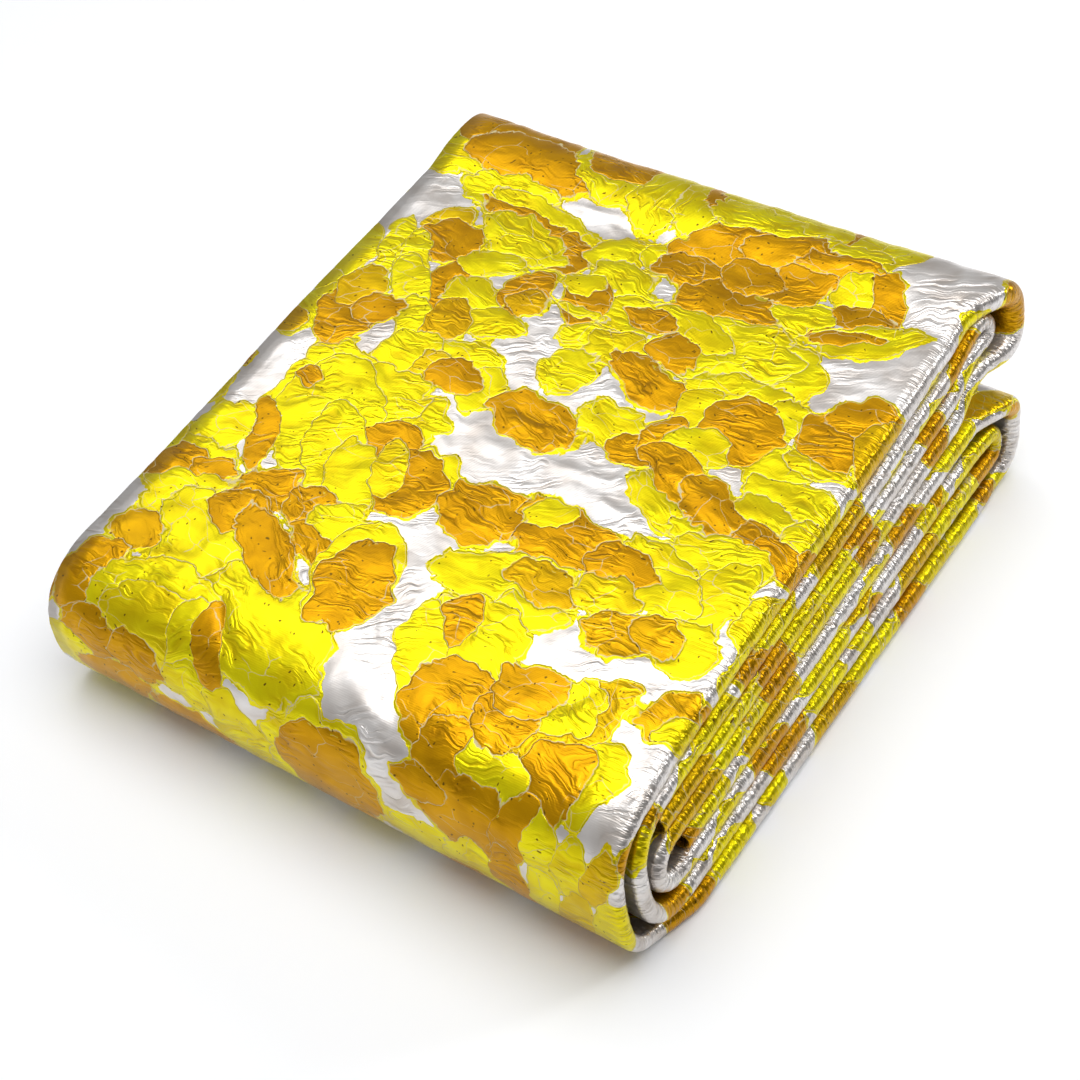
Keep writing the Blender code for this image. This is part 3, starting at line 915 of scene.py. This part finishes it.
def cloth_piece(name, span, step, places, relief_share):
    """One stretch of the cloth, between two lengths along its path."""
    stations, length, _ = CHAIN
    at = np.linspace(span[0], span[1], max(2, round((span[1] - span[0]) / step)))
    normals = along_normals(stations)
    here = np.stack([np.interp(at, length, column) for column in stations.T], axis=1)
    facing = np.stack([np.interp(at, length, column) for column in normals.T], axis=1)
    facing /= np.linalg.norm(facing, axis=1)[:, None]
    points, from_fold = cloth_points(here, facing, places)
    from_front = np.broadcast_to((FRONT_LENGTH - at)[:, None], from_fold.shape)
    chart = np.stack([from_fold, from_front], axis=2)
    loom = loom_points(chart)
    flat_chart, flat_loom = chart.reshape(-1, 2), loom.reshape(-1, 2)
    petals = repeated_petals(flat_loom.min(axis=0), flat_loom.max(axis=0))
    inward = np.minimum(-flat_chart[:, 0] - FOLD_EDGE, SELVEDGE_EDGE + flat_chart[:, 0])
    share = relief_share * (EDGE_RELIEF + (1.0 - EDGE_RELIEF) * smooth(inward / EDGE_FADE))
    height = relief(flat_chart, flat_loom, petals) * share + puckers(flat_chart, from_fold.reshape(-1))
    height = height.reshape(from_fold.shape)
    points = points + outward(points) * height[:, :, None]
    points[:, :, :2] -= FOOTPRINT_MIDDLE
    points[:, :, 2] = np.maximum(points[:, :, 2], FLOOR_GAP)

    rows, width = from_fold.shape
    corner = (np.arange(rows - 1)[:, None] * width + np.arange(width - 1)).reshape(-1)
    faces = np.stack([corner, corner + width, corner + width + 1, corner + 1], axis=1)
    mesh = bpy.data.meshes.new(name)
    mesh.from_pydata(points.reshape(-1, 3).tolist(), [], faces.tolist())
    mesh.shade_smooth()
    corners = faces.reshape(-1)
    for uv_name, values in (("loom", flat_loom), ("chart", flat_chart)):
        layer = mesh.uv_layers.new(name=uv_name)
        layer.data.foreach_set("uv", values[corners].astype(np.float32).reshape(-1))
    middles = flat_loom[faces].mean(axis=1)
    reaches = np.linalg.norm(flat_loom[faces] - middles[:, None, :], axis=2).max(axis=1)
    tops = top_petals(middles, reaches, petals)
    far_off = np.array([[100.0, 100.0, 0.0, 0.01, 0.01, 0.0, 0.0]])  # stands in where a face has no petal
    table = np.concatenate([petals, far_off])
    for layer in range(tops.shape[1]):
        x, y, angle, half_length, half_width, gold, scallops = table[tops[:, layer]].T
        cos, sin, zero = np.cos(angle), np.sin(angle), np.zeros(len(x))
        for kind, values in (
            ("along", (cos / half_length, sin / half_length, -(cos * x + sin * y) / half_length)),
            ("across", (-sin / half_width, cos / half_width, (sin * x - cos * y) / half_width)),
            ("size", (half_length, half_width, zero)),
            ("lag", (zero, x * LIE_SHIFT, zero)),
            ("look", (gold, scallops / 2.0, half_width)),
        ):
            attribute = mesh.attributes.new(f"{kind}_{layer}", "FLOAT_VECTOR", "FACE")
            attribute.data.foreach_set("vector", np.stack(values, axis=1).astype(np.float32).reshape(-1))
    mesh.materials.append(BROCADE)
    piece = bpy.data.objects.new(name, mesh)
    bpy.context.scene.collection.objects.link(piece)
    sheet = piece.modifiers.new("sheet", "SOLIDIFY")
    sheet.thickness = SHEET_THICK
    sheet.offset = 0.0
    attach(piece, "root")
    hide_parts("brocade_cloth")


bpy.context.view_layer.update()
BROCADE = brocade_material()
CHAIN = chain()
BAND_STARTS = CHAIN[2]
FRONT_LENGTH = BAND_STARTS[1] + (BACK_LINE - FRONT_LINE) * BAND_SLOPE

# The sheets follow each other along the cloth, and are cut where no cut shows
hidden_ply = crowded(HIDDEN_PLY_STEP, HIDDEN_PLY_GROWTH)
fold_places = plies(hidden_ply, hidden_ply)
cover_places = plies(crowded(COVER_PLY_STEP, 1.0), hidden_ply)
wrap_places = plies(crowded(WRAP_PLY_STEP, 1.0), hidden_ply)
upper_cut = BAND_STARTS[7] - 0.06
lower_cut = BAND_STARTS[4] + 0.30
bottom_cut = BAND_STARTS[8] + 0.01
cloth_end = float(CHAIN[1][-1])
cloth_piece("inner_folds_upper", (0.0, upper_cut), FOLD_STEP, fold_places, INNER_RELIEF)
cloth_piece("inner_folds_lower", (upper_cut, lower_cut), FOLD_STEP, fold_places, INNER_RELIEF)
cloth_piece("outer_cover", (lower_cut, bottom_cut), FACE_STEP, cover_places, 1.0)
cloth_piece("bottom_folds", (bottom_cut, cloth_end), FACE_STEP, wrap_places, WRAP_RELIEF)


def aim(thing, place, target):
    thing.location = place
    thing.rotation_euler = (Vector(target) - Vector(place)).to_track_quat("-Z", "Y").to_euler()
    bpy.context.scene.collection.objects.link(thing)


# The photo's view
camera = bpy.data.cameras.new("camera")
camera.lens = 76.667
camera.sensor_width = 36.0
camera_object = bpy.data.objects.new("camera", camera)
aim(camera_object, (0.44705, -0.71395, 0.91660), (0.00304, -0.02205, 0.04000))
bpy.context.scene.camera = camera_object

# Name, place, size in metres and power of each soft light
LIGHTS = (
    ("overhead_softbox", (0.00, 0.02, 1.60), 1.8, 20.0),
    ("left_softbox", (-1.10, 0.50, 1.42), 0.8, 2.0),
    ("right_softbox", (0.80, 0.84, 0.72), 0.30, 3.6),
)
for name, place, size, power in LIGHTS:
    light = bpy.data.lights.new(name, "AREA")
    light.shape = "DISK"
    light.size = size
    light.energy = power
    aim(bpy.data.objects.new(name, light), place, (0.0, 0.0, 0.05))

# The room is brighter to the left and overhead, so that the foil has light and dark to mirror
world = bpy.data.worlds.new("studio")
world.use_nodes = True
sky = world.node_tree
way = add(sky, "ShaderNodeTexCoord").outputs["Generated"]
way = add(sky, SEPARATE, {0: way}).outputs
side = add(sky, RANGE, {0: way[0], 1: -0.6, 2: 0.6, 3: 0.47, 4: 0.10}).outputs[0]
high = add(sky, RANGE, {0: way[2], 1: 0.55, 2: 0.85, 3: 0.0, 4: 0.30}).outputs[0]
strength = add(sky, MATH, {0: side, 1: high}, operation="ADD").outputs[0]
background = sky.nodes["Background"]
background.inputs[0].default_value = linear("#ffffff")
sky.links.new(strength, background.inputs[1])
bpy.context.scene.world = world
bpy.context.scene.view_settings.view_transform = "Standard"

FLOOR_SIDE = 4
FLOOR_LEVEL = -0.5 * MM
floor_corners = [
    (x * FLOOR_SIDE, y * FLOOR_SIDE, FLOOR_LEVEL) for x, y in ((-1, -1), (1, -1), (1, 1), (-1, 1))
]
floor_mesh = bpy.data.meshes.new("floor")
floor_mesh.from_pydata(floor_corners, [], [(0, 1, 2, 3)])
floor = bpy.data.objects.new("floor", floor_mesh)
bpy.context.scene.collection.objects.link(floor)
paper = bpy.data.materials.new("matt white paper")
paper.use_nodes = True
paper.node_tree.nodes["Principled BSDF"].inputs["Base Color"].default_value = linear("#f8f9fb")
paper.node_tree.nodes["Principled BSDF"].inputs["Roughness"].default_value = 0.9
floor_mesh.materials.append(paper)
